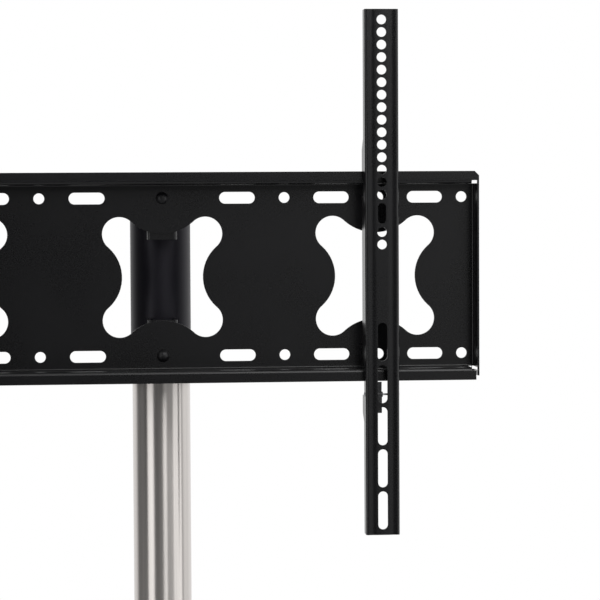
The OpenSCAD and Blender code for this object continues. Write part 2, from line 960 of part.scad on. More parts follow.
module latch(side) {
    hub_len = latch_t + 2 * latch_hub_out;
    color("#4a4b4f")
        translate([side * rail_x - latch_side, latch_y, latch_z])
            difference() {
                union() {
                    along_x(latch_t) {
                        intersection() {
                            circle(latch_tip_r);
                            polygon([
                                [0, 0],
                                latch_tip_r * 2 * [sin(catch_from), cos(catch_from)],
                                latch_tip_r * 2 * [sin(catch_to), cos(catch_to)]
                            ]);
                        }
                        translate([-tail_w / 2, tail_w / 2 - tail_len])
                            square([tail_w, tail_len - tail_w / 2]);
                        translate([0, tail_w / 2 - tail_len])
                            circle(d = tail_w);
                    }
                    rotate([0, 90, 0])
                        cylinder(d = latch_hub_d, h = hub_len, center = true);
                }
                rotate([0, 90, 0])
                    cylinder(d = latch_pin_d + 2 * running, h = hub_len + 2 * over, center = true);
            }
}

module latch_pin(side) {
    color("#8d9094")
        translate([side * rail_x, latch_y, latch_z])
            rotate([0, 90, 0]) {
                cylinder(d = latch_pin_d, h = rail_w, center = true);
                for (end = [0, 1])
                    mirror([0, 0, end])
                        translate([0, 0, rail_w / 2])
                            cylinder(d = pin_head_d, h = pin_head_t);
            }
}

base_plate();
levelling_foot(-1, -1);  // front_left_foot
levelling_foot(1, -1);  // front_right_foot
levelling_foot(-1, 1);  // rear_left_foot
levelling_foot(1, 1);  // rear_right_foot
root_disc();
root_screws();
root_cover();
column();
column_cap();
height_collar();
collar_screws();
sleeve();
clamp_bosses();
clamp_knob(1);  // upper_clamp_knob
clamp_knob(-1);  // lower_clamp_knob
cleat(upper_cleat_z);  // upper_cleat
cleat(-lower_cleat_z - cleat_h);  // lower_cleat
screen_plate();
plate_bolts();
plate_nuts();
rail(-1);  // left_rail
rail(1);  // right_rail
latch(-1);  // left_latch
latch(1);  // right_latch
latch_pin(-1);  // left_latch_pin
latch_pin(1);  // right_latch_pin
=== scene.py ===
"""Dresses a free-standing screen stand: coated sheet metal on a brushed round column."""

import json
import math
from math import radians

import bmesh
import bpy
from mathutils import Matrix, Vector

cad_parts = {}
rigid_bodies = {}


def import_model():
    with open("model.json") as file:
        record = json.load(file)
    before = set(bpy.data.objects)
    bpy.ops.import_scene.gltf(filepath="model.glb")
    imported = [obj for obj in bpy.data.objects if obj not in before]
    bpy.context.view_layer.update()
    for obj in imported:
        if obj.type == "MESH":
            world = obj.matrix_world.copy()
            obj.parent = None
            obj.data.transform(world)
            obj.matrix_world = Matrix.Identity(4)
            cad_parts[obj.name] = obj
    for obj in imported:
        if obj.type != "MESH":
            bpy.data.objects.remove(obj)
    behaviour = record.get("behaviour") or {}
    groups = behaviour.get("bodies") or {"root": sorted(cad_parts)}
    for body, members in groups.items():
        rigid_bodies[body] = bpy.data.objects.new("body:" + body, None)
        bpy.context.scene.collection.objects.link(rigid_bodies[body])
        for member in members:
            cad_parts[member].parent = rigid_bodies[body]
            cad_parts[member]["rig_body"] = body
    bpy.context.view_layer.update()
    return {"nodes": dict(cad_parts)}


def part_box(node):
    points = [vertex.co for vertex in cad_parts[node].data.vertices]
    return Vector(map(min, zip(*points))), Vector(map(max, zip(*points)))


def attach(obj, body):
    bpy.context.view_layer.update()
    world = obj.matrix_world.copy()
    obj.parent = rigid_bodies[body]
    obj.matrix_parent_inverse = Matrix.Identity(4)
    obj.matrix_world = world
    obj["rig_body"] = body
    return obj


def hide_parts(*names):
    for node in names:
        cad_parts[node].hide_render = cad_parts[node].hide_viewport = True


bl_info = {
    "name": "Screen stand finish",
    "version": (1, 0, 0),
    "blender": (4, 5, 0),
    "location": "View3D > Sidebar > Screen stand",
    "description": "Builds the finished surfaces of a screen stand around its packed parts",
    "category": "Object",
}

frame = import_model()
NODES = frame["nodes"]

MM = 0.001


# Sizes and finishes that a user would change


class StandSizes(bpy.types.PropertyGroup):
    sheet_edge: bpy.props.FloatProperty(
        name="Sheet edge",
        description="Rounding of the coated edges of the punched sheet",
        default=0.2 * MM,
        min=0.0,
        precision=5,
        unit="LENGTH",
    )
    machined_edge: bpy.props.FloatProperty(
        name="Machined edge",
        description="Rounding of turned and cut edges",
        default=0.3 * MM,
        min=0.0,
        precision=5,
        unit="LENGTH",
    )
    small_edge: bpy.props.FloatProperty(
        name="Small edge",
        description="Rounding of the edges of pins, latches and screws",
        default=0.15 * MM,
        min=0.0,
        precision=5,
        unit="LENGTH",
    )
    round_steps: bpy.props.IntProperty(
        name="Round steps",
        description="Steps round the column, the sleeve and the cover",
        default=160,
        min=48,
    )


class StandFinish(bpy.types.PropertyGroup):
    coat: bpy.props.FloatVectorProperty(
        name="Powder coat",
        description="Colour of the coated sheet",
        subtype="COLOR",
        default=(0.0040, 0.0040, 0.0050),
    )
    sleeve: bpy.props.FloatVectorProperty(
        name="Sleeve",
        description="Colour of the sleeve's smooth lacquer",
        subtype="COLOR",
        default=(0.0058, 0.0053, 0.0084),
    )
    steel: bpy.props.FloatVectorProperty(
        name="Brushed steel",
        description="Colour of the brushed column and cover",
        subtype="COLOR",
        default=(0.672, 0.638, 0.612),
    )
    plated: bpy.props.FloatVectorProperty(
        name="Plated steel",
        description="Colour of zinc plated screws, nuts and pins",
        subtype="COLOR",
        default=(0.46, 0.47, 0.48),
    )
    moulded: bpy.props.FloatVectorProperty(
        name="Moulded plastic",
        description="Colour of knobs, pads and the end cap",
        subtype="COLOR",
        default=(0.012, 0.012, 0.013),
    )
    latch: bpy.props.FloatVectorProperty(
        name="Latch",
        description="Colour of the satin grey latches",
        subtype="COLOR",
        default=(0.05, 0.05, 0.053),
    )


class Studio(bpy.types.PropertyGroup):
    camera_place: bpy.props.FloatVectorProperty(
        name="Camera place",
        description="Where the camera stands",
        subtype="TRANSLATION",
        unit="LENGTH",
        default=(-83.0 * MM, -2497.2 * MM, 1374.8 * MM),
    )
    camera_turn: bpy.props.FloatVectorProperty(
        name="Camera turn",
        description="How the camera is turned",
        subtype="EULER",
        default=(radians(87.440), radians(0.2997), radians(-5.2434)),
    )
    lens: bpy.props.FloatProperty(
        name="Lens",
        description="Focal length in millimetres on a 36 mm sensor",
        default=144.0,
    )
    floor_radius: bpy.props.FloatProperty(
        name="Floor radius",
        description="Radius of the pale floor round the stand",
        default=2.6,
        unit="LENGTH",
    )
    ambient: bpy.props.FloatProperty(
        name="Ambient",
        description="Level of the plain light from all round",
        default=0.52,
    )
    key_power: bpy.props.FloatProperty(
        name="Key light",
        description="Power of the soft light above the front, in watts",
        default=4.0,
    )


def sizes():
    return bpy.context.scene.stand_sizes


def finish():
    return bpy.context.scene.stand_finish


def studio():
    return bpy.context.scene.stand_studio


# Shader wiring


class Wire:
    """A shader socket that can be added, subtracted, multiplied and divided like a number."""

    def __init__(self, shader, socket):
        self.shader = shader
        self.socket = socket

    def maths(self, operation, *others):
        return self.shader.node("ShaderNodeMath", {"operation": operation}, [self, *others])

    def __add__(self, other):
        return self.maths("ADD", other)

    __radd__ = __add__

    def __sub__(self, other):
        return self.maths("SUBTRACT", other)

    def __rsub__(self, other):
        return self.shader.node("ShaderNodeMath", {"operation": "SUBTRACT"}, [other, self])

    def __mul__(self, other):
        return self.maths("MULTIPLY", other)

    __rmul__ = __mul__

    def __truediv__(self, other):
        return self.maths("DIVIDE", other)

    def ramp(self, low, high, to_low=0.0, to_high=1.0):
        """Runs smoothly from to_low at low to to_high at high."""
        return self.shader.node(
            "ShaderNodeMapRange",
            {"interpolation_type": "SMOOTHSTEP"},
            [self, low, high, to_low, to_high],
        )

    def graph(self, points):
        """Follows straight lines between points of (this value, result)."""
        low, high = points[0][0], points[-1][0]
        share = (self - low) / (high - low)
        made = self.shader.node("ShaderNodeValToRGB", inputs=[share])
        stops = made.socket.node.color_ramp.elements
        stops[0].color = tone((points[0][1],) * 3)
        stops[-1].color = tone((points[-1][1],) * 3)
        for value, result in points[1:-1]:
            stops.new((value - low) / (high - low)).color = tone((result,) * 3)
        return self.shader.node("ShaderNodeRGBToBW", inputs=[made])


class Shader:
    """The nodes of one material or world."""

    def __init__(self, owner):
        owner.use_nodes = True
        self.tree = owner.node_tree
        self.tree.nodes.clear()

    def node(self, kind, settings=None, inputs=None, output=0):
        """Adds a node: its settings first, then the values or links of its sockets."""
        made = self.tree.nodes.new(kind)
        for name, value in (settings or {}).items():
            setattr(made, name, value)
        pairs = inputs.items() if isinstance(inputs, dict) else enumerate(inputs or [])
        for key, value in pairs:
            if isinstance(value, Wire):
                self.tree.links.new(value.socket, made.inputs[key])
            else:
                made.inputs[key].default_value = value
        return Wire(self, made.outputs[output]) if made.outputs else None

    def place(self):
        return self.node("ShaderNodeTexCoord", output="Object")

    def axes(self, vector):
        split = self.node("ShaderNodeSeparateXYZ", inputs=[vector]).socket.node
        return [Wire(self, socket) for socket in split.outputs]

    def stretched(self, scale):
        """Object coordinates scaled by axis, so that a pattern runs along the smallest."""
        return self.node("ShaderNodeVectorMath", {"operation": "MULTIPLY"}, [self.place(), scale])

    def noise(self, where, scale, detail=2.0, rough=0.5):
        return self.node(
            "ShaderNodeTexNoise",
            inputs={"Vector": where, "Scale": scale, "Detail": detail, "Roughness": rough},
        )

    def mix(self, share, low, high):
        return self.node(
            "ShaderNodeMix",
            {"data_type": "RGBA", "clamp_factor": True},
            {0: share, 6: low, 7: high},
            output=2,
        )

    def bump(self, height, strength, distance):
        return self.node(
            "ShaderNodeBump", inputs={"Strength": strength, "Distance": distance, "Height": height}
        )

    def surface(self, **inputs):
        named = {key.replace("_", " "): value for key, value in inputs.items()}
        return self.node("ShaderNodeBsdfPrincipled", inputs=named)

    def output(self, shader):
        self.node("ShaderNodeOutputMaterial", inputs={"Surface": shader})


def tone(colour, gain=1.0):
    return (colour[0] * gain, colour[1] * gain, colour[2] * gain, 1.0)


WHITE = (1.0, 1.0, 1.0)


# Materials


def made_once(build):
    """Keeps one copy of each material under the name of the function that builds it."""

    def get():
        name = build.__name__
        if name not in bpy.data.materials:
            material = bpy.data.materials.new(name)
            build(Shader(material))
        return bpy.data.materials[name]

    return get


@made_once
def powder_coat(shader):
    """Satin black powder coat with a fine orange peel; its rounded edges are painted lighter as a
    painted highlight and are a little glossier.
    """
    where = shader.place()
    cloud = shader.noise(where, 14.0, 3.0)
    peel = shader.noise(where, 900.0, 2.0)
    # The edge attribute marks the rounded edges, which are painted lighter: a painted highlight
    # along every edge
    edge = shader.node("ShaderNodeAttribute", {"attribute_name": "edge"}, output="Fac")
    colour = shader.mix(cloud.ramp(0.3, 0.7), tone(finish().coat, 0.85), tone(finish().coat, 1.15))
    shader.output(
        shader.surface(
            Base_Color=shader.mix(edge, colour, tone(finish().coat, 1.6)),
            Roughness=0.24 + 0.04 * cloud + 0.04 * peel - 0.03 * edge,
            Specular_IOR_Level=0.5,
            Normal=shader.bump(peel, 0.25, 0.00003),
        )
    )


@made_once
def sleeve_lacquer(shader):
    """Smooth black lacquer with a faint violet cast."""
    where = shader.place()
    cloud = shader.noise(where, 22.0, 3.0)
    drawn = shader.noise(shader.stretched((260.0, 260.0, 5.0)), 1.0, 2.0)
    shader.output(
        shader.surface(
            Base_Color=shader.mix(cloud, tone(finish().sleeve, 0.8), tone(finish().sleeve, 1.2)),
            Roughness=0.37 + 0.06 * cloud + 0.04 * drawn,
            Specular_IOR_Level=0.33,
            Specular_Tint=(0.92, 0.90, 1.0, 1.0),
            Normal=shader.bump(drawn, 0.12, 0.00002),
        )
    )


@made_once
def brushed_along(shader):
    """Stainless steel brushed along the tube: fine streaks that run up and down."""
    fine = shader.noise(shader.stretched((2600.0, 2600.0, 6.0)), 1.0, 3.0, 0.6)
    broad = shader.noise(shader.stretched((330.0, 330.0, 1.6)), 1.0, 2.0)
    streak = 0.55 * fine + 0.45 * broad
    dark, light = tone(finish().steel, 0.90), tone(finish().steel, 1.06)
    shader.output(
        shader.surface(
            Base_Color=shader.mix(streak.ramp(0.3, 0.7), dark, light),
            Metallic=1.0,
            Roughness=0.27 + 0.06 * streak,
            Anisotropic=1.0,
            Anisotropic_Rotation=0.25,
            Normal=shader.bump(streak, 0.08, 0.00004),
        )
    )


@made_once
def brushed_round(shader):
    """Stainless steel brushed round the dome: fine rings."""
    x, y, _z = shader.axes(shader.place())
    radius = (x * x + y * y).maths("SQRT")
    rings = shader.node("ShaderNodeCombineXYZ", inputs=[radius * 2400.0, 0.0, 0.0])
    turn = shader.noise(shader.stretched((9.0, 9.0, 9.0)), 1.0, 2.0)
    fine = shader.noise(rings, 1.0, 3.0, 0.6)
    dark, light = tone(finish().steel, 0.88), tone(finish().steel, 1.04)
    shader.output(
        shader.surface(
            Base_Color=shader.mix(fine.ramp(0.3, 0.7), dark, light),
            Metallic=1.0,
            Roughness=0.30 + 0.08 * fine + 0.04 * turn,
            Anisotropic=0.8,
            Anisotropic_Rotation=0.25,
            Normal=shader.bump(fine, 0.12, 0.00004),
        )
    )


@made_once
def zinc_plate(shader):
    """Bright zinc plating with faint clouds."""
    cloud = shader.noise(shader.place(), 420.0, 3.0)
    shader.output(
        shader.surface(
            Base_Color=shader.mix(cloud, tone(finish().plated, 0.82), tone(finish().plated, 1.12)),
            Metallic=1.0,
            Roughness=0.26 + 0.16 * cloud,
            Normal=shader.bump(cloud, 0.06, 0.00004),
        )
    )


@made_once
def bolt_coat(shader):
    """Black coat on the bolts, duller than on the sheet."""
    cloud = shader.noise(shader.place(), 500.0, 3.0)
    shader.output(
        shader.surface(
            Base_Color=shader.mix(cloud, tone(finish().coat, 0.9), tone(finish().coat, 1.4)),
            Roughness=0.36 + 0.08 * cloud,
            Specular_IOR_Level=0.34,
            Normal=shader.bump(cloud, 0.10, 0.00003),
        )
    )


@made_once
def moulded_plastic(shader):
    """Moulded plastic with a fine spark texture."""
    spark = shader.noise(shader.place(), 1800.0, 2.0)
    cloud = shader.noise(shader.place(), 40.0, 2.0)
    dark, light = tone(finish().moulded, 0.85), tone(finish().moulded, 1.15)
    shader.output(
        shader.surface(
            Base_Color=shader.mix(cloud, dark, light),
            Roughness=0.46 + 0.12 * spark,
            Specular_IOR_Level=0.45,
            Normal=shader.bump(spark, 0.30, 0.00005),
        )
    )


@made_once
def foot_coat(shader):
    """Fine textured coat of the foot plate."""
    where = shader.place()
    grain = shader.noise(where, 1500.0, 3.0, 0.65)
    cloud = shader.noise(where, 6.0, 3.0)
    # The edge attribute marks the rounded edges, which are painted much lighter: a painted
    # highlight along every edge
    edge = shader.node("ShaderNodeAttribute", {"attribute_name": "edge"}, output="Fac")
    colour = shader.mix(cloud, tone(finish().coat, 1.0), tone(finish().coat, 1.35))
    shader.output(
        shader.surface(
            Base_Color=shader.mix(edge, colour, tone(finish().coat, 2.2)),
            Roughness=0.48 + 0.10 * grain + 0.04 * cloud,
            Specular_IOR_Level=0.4,
            Normal=shader.bump(grain, 0.35, 0.00006),
        )
    )


@made_once
def satin_primer(shader):
    """Satin grey-black primer under the cover."""
    cloud = shader.noise(shader.place(), 60.0, 3.0)
    shader.output(
        shader.surface(
            Base_Color=shader.mix(cloud, (0.020, 0.020, 0.022, 1.0), (0.030, 0.030, 0.032, 1.0)),
            Roughness=0.45 + 0.12 * cloud,
            Normal=shader.bump(cloud, 0.1, 0.00004),
        )
    )


@made_once
def latch_grey(shader):
    """Satin grey of the stamped latches."""
    drawn = shader.noise(shader.stretched((900.0, 900.0, 90.0)), 1.0, 2.0)
    # The edge attribute marks the rounded edges, which are painted lighter: a painted highlight
    # along every edge
    edge = shader.node("ShaderNodeAttribute", {"attribute_name": "edge"}, output="Fac")
    colour = shader.mix(drawn, tone(finish().latch, 0.85), tone(finish().latch, 1.15))
    shader.output(
        shader.surface(
            Base_Color=shader.mix(edge, colour, tone(finish().latch, 1.7)),
            Roughness=0.36 + 0.12 * drawn,
            Normal=shader.bump(drawn, 0.1, 0.00003),
        )
    )


# Making pieces

# Folds sharper than this many degrees keep their edge in the shading
SHARP_ANGLE = 50
# Neighbouring faces of a CAD mesh within this many degrees are one flat face
FLAT_WITHIN = 0.6
# Corners this close are the same corner, in a CAD mesh and in a new one
CAD_MERGE = 0.02 * MM
MERGE = 0.001 * MM
# Folds between these degrees are rounded; a sharper one is a sliver where two bends meet
ROUNDED_FROM = 32
ROUNDED_TO = 130
ROUNDING_STEPS = 2


def show(name, bm, material, body, slot, *replaced):
    """Turns a finished bmesh into a piece that rides on a body and stands for CAD nodes."""
    mesh = bpy.data.meshes.new(name)
    bm.to_mesh(mesh)
    bm.free()
    mesh.materials.append(material)
    mesh.shade_smooth()
    mesh.set_sharp_from_angle(angle=radians(SHARP_ANGLE))
    thing = bpy.data.objects.new(name, mesh)
    bpy.context.scene.collection.objects.link(thing)
    weigh = thing.modifiers.new("Flat faces", "WEIGHTED_NORMAL")
    weigh.keep_sharp = True
    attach(thing, body)
    if replaced:
        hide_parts(*replaced)


def node_mesh(node):
    """A merged copy of a CAD node's mesh, with its flat faces joined."""
    bm = bmesh.new()
    bm.from_mesh(NODES[node].data)
    bmesh.ops.remove_doubles(bm, verts=bm.verts, dist=CAD_MERGE)
    bmesh.ops.dissolve_limit(
        bm, angle_limit=radians(FLAT_WITHIN), verts=bm.verts, edges=bm.edges, delimit={"NORMAL"}
    )
    return bm


def round_edges(bm, width):
    """Rounds every sharp edge and marks the new faces with the edge attribute, which the coats
    paint lighter as a painted highlight.
    """
    layer = bm.faces.layers.float.get("edge") or bm.faces.layers.float.new("edge")
    sharp = [
        edge
        for edge in bm.edges
        if len(edge.link_faces) == 2
        and radians(ROUNDED_FROM) < edge.calc_face_angle(0.0) < radians(ROUNDED_TO)
    ]
    made = bmesh.ops.bevel(
        bm,
        geom=sharp,
        offset=width,
        offset_type="OFFSET",
        segments=ROUNDING_STEPS,
        profile=0.5,
        affect="EDGES",
        clamp_overlap=False,
        material=-1,
    )
    for face in made["faces"]:
        face[layer] = 1.0
    return bm


def body_of(node):
    return NODES[node]["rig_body"]


def slot_of(node):
    return NODES[node].data.materials[0].name


def dress(node, name, material, width):
    """A copy of a CAD node with rounded edges stands for it."""
    bm = round_edges(node_mesh(node), width)
    show(name, bm, material, body_of(node), slot_of(node), node)


def paint(node, material):
    NODES[node].data.materials[0] = material


# The pieces


# The camera's sensor, in millimetres
SENSOR_WIDTH = 36.0
# The soft key light: where it stands, what it points at, and its width and height
KEY_PLACE = (0.95, -1.05, 2.25)
KEY_AIM = (0.10, -0.07, 1.29)
KEY_SIZE = (0.9, 0.7)


class SCREENSTAND_OT_stage(bpy.types.Operator):
    """Sets up the camera, the studio light and the pale floor"""

    bl_idname = "screen_stand.stage"
    bl_label = "Stage"

    def execute(self, context):
        camera = bpy.data.cameras.new("photo_camera")
        camera.lens = studio().lens
        camera.sensor_width = SENSOR_WIDTH
        camera.clip_start = 0.05
        camera.clip_end = 60.0
        eye = bpy.data.objects.new("photo_camera", camera)
        eye.location = studio().camera_place
        eye.rotation_euler = studio().camera_turn
        context.scene.collection.objects.link(eye)
        context.scene.camera = eye
        context.scene.view_settings.view_transform = "Standard"
        light_world(context.scene)
        soft_light("key", KEY_PLACE, KEY_AIM, KEY_SIZE, studio().key_power)
        lay_floor(context.scene)
        return {"FINISHED"}


def soft_light(name, place, aim, size, power):
    lamp = bpy.data.lights.new(name, "AREA")
    lamp.shape = "RECTANGLE"
    lamp.size, lamp.size_y = size
    lamp.energy = power
    holder = bpy.data.objects.new(name, lamp)
    holder.location = place
    holder.rotation_euler = (Vector(aim) - Vector(place)).to_track_quat("-Z", "Y").to_euler()
    bpy.context.scene.collection.objects.link(holder)


# What shiny surfaces see round the stand, as pairs of a bearing in degrees and a brightness: first
# the walls, then the softboxes above them. 0 is the front, and 90 is on the viewer's right
WALLS = [
    (-180, 0.98),
    (-150, 0.9),
    (-126, 0.84),
    (-118, 0.36),
    (-111, 0.14),
    (-95, 0.08),
    (-84, 0.11),
    (-63, 0.13),
    (-59, 1.55),
    (-38, 1.55),
    (-33, 0.12),
    (-22, 0.08),
    (-8, 0.05),
    (2, 0.06),
    (8, 0.37),
    (15, 0.51),
    (19, 0.45),
    (38, 0.42),
    (44, 0.5),
    (46, 1.35),
    (50, 1.35),
    (53, 1.3),
    (66, 1.7),
    (80, 1.6),
    (85, 0.4),
    (90, 0.4),
    (93, 0.98),
    (135, 0.95),
    (180, 0.98),
]
SOFTBOXES = [
    (-180, 1.1),
    (-150, 0.95),
    (-128, 0.9),
    (-122, 0.85),
    (-115, 0.12),
    (-95, 0.36),
    (-84, 0.16),
    (-62.5, 0.05),
    (-59.5, 2.0),
    (-38, 2.0),
    (-33.5, 0.05),
    (-22, 0.09),
    (-8, 0.22),
    (1.5, 0.5),
    (4.5, 4.0),
    (10, 3.6),
    (17.5, 3.5),
    (20.5, 0.22),
    (40, 0.12),
    (43.5, 0.45),
    (45.5, 1.9),
    (50.5, 1.9),
    (52.5, 1.2),
    (66, 1.5),
    (80, 1.5),
    (85, 0.5),
    (90, 0.47),
    (93, 1.1),
    (140, 1.05),
    (180, 1.1),
]
# How high the softboxes start and end, in degrees, how soft their edges are, and the ceiling
BOX_BOTTOM = 12
BOX_TOP = 55
BOX_SOFTNESS = (2, 4)
CEILING = 0.5


def light_world(scene):
    """White to the camera, walls and softboxes to shiny surfaces, plain light to matt ones."""
    world = bpy.data.worlds.new("studio")
    scene.world = world
    shader = Shader(world)
    x, y, z = shader.axes(shader.node("ShaderNodeTexCoord", output="Generated"))
    around = x.maths("ARCTAN2", -1.0 * y) * math.degrees(1.0)
    walls, boxes = around.graph(WALLS), around.graph(SOFTBOXES)
    level = walls + above(z, BOX_BOTTOM, BOX_SOFTNESS[0]) * (boxes - walls)
    level = level + above(z, BOX_TOP, BOX_SOFTNESS[1]) * (CEILING - level)
    seen = shader.node("ShaderNodeLightPath").socket.node.outputs
    camera, glossy = Wire(shader, seen["Is Camera Ray"]), Wire(shader, seen["Is Glossy Ray"])
    through = Wire(shader, seen["Is Transmission Ray"])
    white = (camera + through).maths("MINIMUM", 1.0)
    strength = white + (1.0 - white) * (glossy * level + (1.0 - glossy) * studio().ambient)
    light = {"Color": tone(WHITE), "Strength": strength}
    ground = shader.node("ShaderNodeBackground", inputs=light)
    shader.node("ShaderNodeOutputWorld", inputs={"Surface": ground})


def above(z, angle, soft):
    """0 below an angle over the horizon, 1 above it, with a soft edge."""
    return z.ramp(math.sin(radians(angle - soft)), math.sin(radians(angle + soft)))


# The floor fades to white from this radius to this share of its own radius, and starts with this
# share of white
FADE_FROM = 0.7
FADE_TO = 0.9
FADE_START = 0.35


def lay_floor(scene):
    """A pale round floor that keeps the stand's shadow and fades to the white beyond."""
    bm = bmesh.new()
    bmesh.ops.create_circle(bm, cap_ends=True, segments=96, radius=studio().floor_radius)
    mesh = bpy.data.meshes.new("floor")
    bm.to_mesh(mesh)
    bm.free()
    floor = bpy.data.objects.new("floor", mesh)
    scene.collection.objects.link(floor)
    material = bpy.data.materials.new("pale_floor")
    shader = Shader(material)
    x, y, _z = shader.axes(shader.place())
    radius = (x * x + y * y).maths("SQRT")
    seen = Wire(shader, shader.node("ShaderNodeLightPath").socket.node.outputs["Is Camera Ray"])
    grain = shader.noise(shader.place(), 60.0, 2.0)
    pale = shader.mix(grain, tone(WHITE, 0.78), tone(WHITE, 0.82))
    matt = shader.surface(Base_Color=pale, Roughness=0.7)
    white = shader.node("ShaderNodeEmission", inputs={"Color": tone(WHITE), "Strength": 1.0})
    fade = radius.ramp(FADE_FROM, studio().floor_radius * FADE_TO, FADE_START, 1.0)
    shader.output(shader.node("ShaderNodeMixShader", inputs=[fade * seen, matt, white]))
    mesh.materials.append(material)


class SCREENSTAND_OT_foot(bpy.types.Operator):
    """Finishes the foot plate, its feet and the root of the column"""

    bl_idname = "screen_stand.foot"
    bl_label = "Foot plate"

    def execute(self, context):
        dress("base_plate", "coated_foot_plate", foot_coat(), sizes().machined_edge)
        for node in ("front_left_foot", "front_right_foot", "rear_left_foot", "rear_right_foot"):
            levelling_foot(node)
        paint("root_disc", satin_primer())
        paint("root_screws", zinc_plate())
        root_cover()
        return {"FINISHED"}


# A foot's pad has a rib on every second face of its side. A face belongs to the side if its normal
# rises or falls by less than this and it has more than this area, in square metres
UPRIGHT = 0.05
SMALLEST_SIDE = 4e-6
# How far a rib stands out
RIB_HEIGHT = 0.4 * MM


def bearing(face):
    """The angle of a face round the axis."""
    centre = face.calc_center_median()
    return math.atan2(centre.y, centre.x)


def levelling_foot(node):
    """A ribbed moulded pad on a plated stud with a key socket in its end."""
    low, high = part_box(node)
    place = (low + high) / 2
    radius, top = (high.x - low.x) / 2, 11.9 * MM
    outline = [
        (0.0, 0.4 * MM),
        (radius - 6.0 * MM, 0.4 * MM),
        (radius - 5.4 * MM, 0.0),
        *arc(radius - 2.4 * MM, 2.0 * MM, 2.0 * MM, -90, 0, 5),
        (radius - 0.4 * MM, 8.6 * MM),
        *arc(radius - 1.6 * MM, 9.0 * MM, 1.2 * MM, 0, 90, 4),
        (radius - 5.0 * MM, 10.6 * MM),
        (radius - 5.8 * MM, top),
        (0.0, top),
    ]
    bm = turned(outline, 96)
    sides = [
        face
        for face in bm.faces
        if abs(face.normal.z) < UPRIGHT and face.calc_area() > SMALLEST_SIDE
    ]
    sides.sort(key=bearing)
    ribs = bmesh.ops.extrude_discrete_faces(bm, faces=sides[::2])["faces"]
    for rib in ribs:
        bmesh.ops.translate(bm, vec=rib.normal * RIB_HEIGHT, verts=rib.verts)
        bmesh.ops.scale(
            bm,
            vec=(0.85, 0.85, 0.93),
            space=Matrix.Translation(-rib.calc_center_median()),
            verts=rib.verts,
        )
    bmesh.ops.translate(bm, vec=(place.x, place.y, 0.0), verts=bm.verts)
    show(f"{node}_ribbed_pad", bm, moulded_plastic(), body_of(node), slot_of(node), node)

    bm = bmesh.new()
    loop = start_ring(bm, 48, top - 1 * MM)
    socket = flat_sided(6, 4 * MM)
    stud = draw_rings(
        bm,
        loop,
        [
            (top - 1 * MM, 3.9 * MM),
            (high.z - 0.4 * MM, 3.95 * MM),
            (high.z, 3.6 * MM),
            (high.z, socket),
            (high.z - 3.5 * MM, socket),
        ],
    )
    close(bm, loop, stud)
    bmesh.ops.translate(bm, vec=(place.x, place.y, 0.0), verts=bm.verts)
    show(f"{node}_stud", bm, zinc_plate(), body_of(node), "plain_steel", node)


class SCREENSTAND_OT_column(bpy.types.Operator):
    """Finishes the column, its cap and the height collar"""

    bl_idname = "screen_stand.column"
    bl_label = "Column"

    def execute(self, context):
        column_tube()
        column_plug()
        dress("height_collar", "machined_height_collar", powder_coat(), sizes().machined_edge)
        dress("collar_screws", "socket_collar_screws", zinc_plate(), sizes().small_edge)
        return {"FINISHED"}


TUBE_WALL = 1.5 * MM


def column_tube():
    """The brushed tube, turned from its wall's outline with softened ends."""
    low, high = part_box("column")
    outside, bore, edge = high.x, high.x - TUBE_WALL, sizes().machined_edge
    outline = [
        (bore + edge, low.z),
        (outside - edge, low.z),
        (outside, low.z + edge),
        (outside, high.z - edge),
        (outside - edge, high.z),
        (bore + edge, high.z),
        (bore, high.z - edge),
        (bore, low.z + edge),
    ]
    bm = turned(outline, sizes().round_steps, closed=True)
    show("brushed_column_tube", bm, brushed_along(), body_of("column"), slot_of("column"), "column")


def column_plug():
    """The moulded end cap: a dished top inside a raised rim, and a hollow plug."""
    low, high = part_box("column_cap")
    outside, top = high.x, high.z
    outline = [
        (0.0, top - 1.3 * MM),
        (outside - 6.5 * MM, top - 1.2 * MM),
        (outside - 5.6 * MM, top - 0.3 * MM),
        (outside - 4.6 * MM, top),
        *arc(outside - 1.5 * MM, top - 1.5 * MM, 1.5 * MM, 90, -90, 8),
        (outside - 1.6 * MM, low.z + 0.6 * MM),
        (outside - 2.2 * MM, low.z),
        (outside - 3.6 * MM, low.z),
        (outside - 3.6 * MM, top - 4.6 * MM),
        (0.0, top - 4.6 * MM),
    ]
    bm = turned(outline, sizes().round_steps)
    node = "column_cap"
    show("moulded_column_cap", bm, moulded_plastic(), body_of(node), slot_of(node), node)


